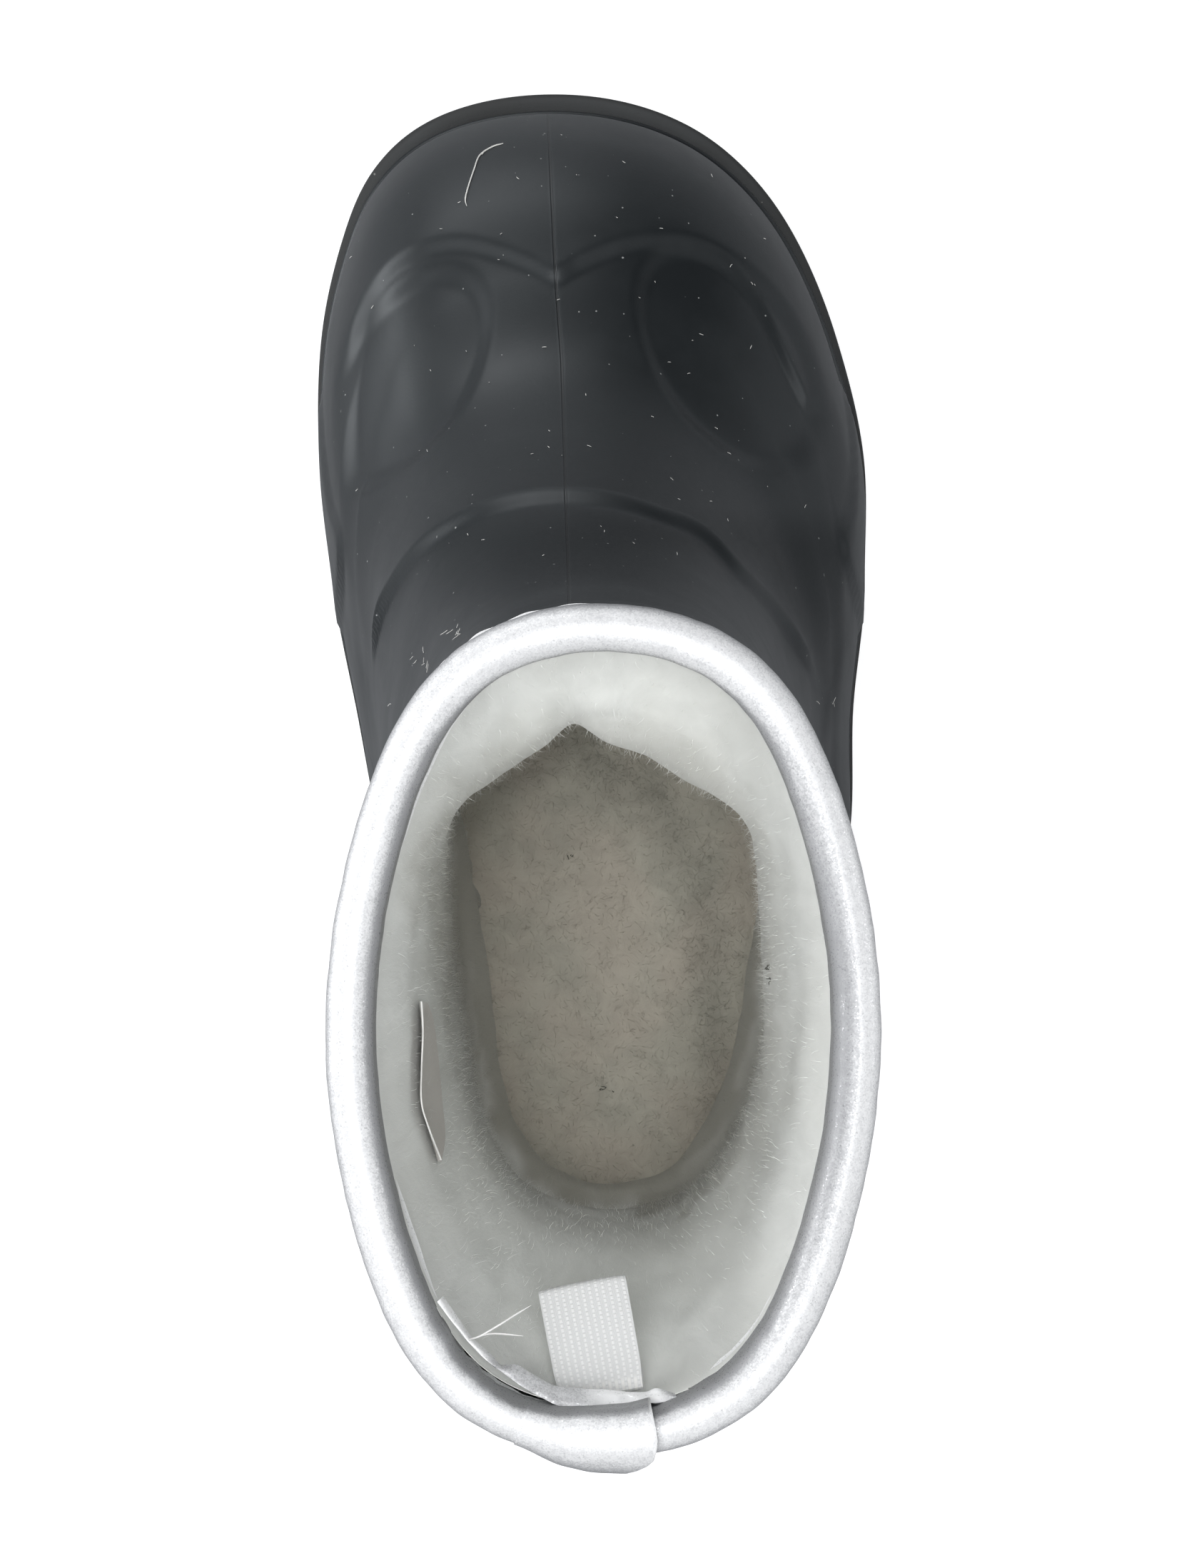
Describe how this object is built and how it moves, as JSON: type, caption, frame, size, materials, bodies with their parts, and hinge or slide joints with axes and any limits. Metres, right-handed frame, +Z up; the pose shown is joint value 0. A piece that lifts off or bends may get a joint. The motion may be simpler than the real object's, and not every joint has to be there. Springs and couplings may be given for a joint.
{
  "type": "lined rubber boot",
  "caption": "Child's pull-on rubber boot with a pile-lined round shaft, taped collar, pull loop, footbed and lugged sole.",
  "frame": {"origin": "centre of the boot's box, on the floor under the sole", "axes": "+Y heel to toe, +Z up, +X towards the outer (little-toe) side of this right boot"},
  "size_m": [0.0826, 0.1926, 0.1736],
  "materials": {
    "sole_rubber": "matt black moulded rubber",
    "upper_rubber": "satin-matt blue-black moulded rubber",
    "footbed_pile": "short curled grey-beige pile",
    "lining_pile": "brushed off-white pile",
    "reflective_tape": "silver glass-bead reflective tape",
    "satin_ribbon": "white satin ribbon"
  },
  "bodies": {
    "root": {"outsole": "sole_rubber", "upper": "upper_rubber", "insole": "footbed_pile", "collar_binding": "reflective_tape", "binding_lap": "reflective_tape", "pull_loop": "satin_ribbon"}
  },
  "joints": []
}
